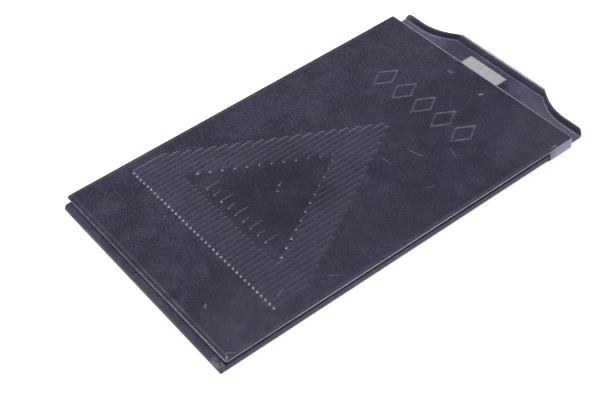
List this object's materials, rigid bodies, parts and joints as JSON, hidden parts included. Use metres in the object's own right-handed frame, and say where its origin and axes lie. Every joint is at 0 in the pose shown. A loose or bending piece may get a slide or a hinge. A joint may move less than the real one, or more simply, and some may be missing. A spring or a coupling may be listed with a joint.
{
  "type": "metal plate holder",
  "caption": "Flat metal plate holder for small-format film or glass plates, with an embossed back, side guide flanges, a sliding dark slide with a turned-up pull, and a sprung plate catch.",
  "frame": {"origin": "bottom centre of the whole object's box at rest, on the underside of the light-trap cover", "axes": "+X across the holder, +Y along it in the direction the dark slide pulls out, +Z out of the embossed back"},
  "size_m": [0.0704, 0.1206, 0.004],
  "materials": {
    "black_lacquer": "semi-gloss bluish-black lacquer on pressed sheet steel, finely scratched, worn to grey along its folded edges",
    "slide_lacquer": "thin blue-black lacquer on sheet steel, slightly lighter and glossier, rubbed along the sliding direction",
    "bright_steel": "bare light-grey steel with fine scratches",
    "spring_steel": "dull grey tempered spring steel",
    "black_velvet": "short-pile black velvet",
    "brass_strip": "thin rolled brass, lightly tarnished"
  },
  "bodies": {
    "holder": {"back_panel": "black_lacquer", "pocket_frame": "black_lacquer", "slide_channel_left": "black_lacquer", "slide_channel_right": "black_lacquer", "slide_channel_end": "black_lacquer", "plate_stop": "black_lacquer", "trap_bar": "black_lacquer", "trap_cover": "black_lacquer", "trap_spring": "spring_steel", "pressure_spring_left": "spring_steel", "pressure_spring_right": "spring_steel", "catch_keeper": "spring_steel", "catch_spring": "spring_steel", "velvet_upper": "black_velvet", "velvet_lower": "black_velvet", "velvet_carrier": "brass_strip"},
    "slide": {"dark_slide": "slide_lacquer"},
    "catch": {"plate_catch": "bright_steel", "catch_hook": "spring_steel", "catch_rivet_left": "bright_steel", "catch_rivet_right": "bright_steel"}
  },
  "joints": [
    {"name": "dark_slide_pull", "type": "slide", "parent": "holder", "child": "slide", "axis": [0, 1, 0], "range_m": [0, 0.112]},
    {"name": "plate_catch_pull", "type": "slide", "parent": "holder", "child": "catch", "axis": [0, 1, 0], "range_m": [0, 0.0025], "stiffness_N_per_m": 800, "springref_m": -0.001, "deforming": ["catch_spring"]}
  ]
}
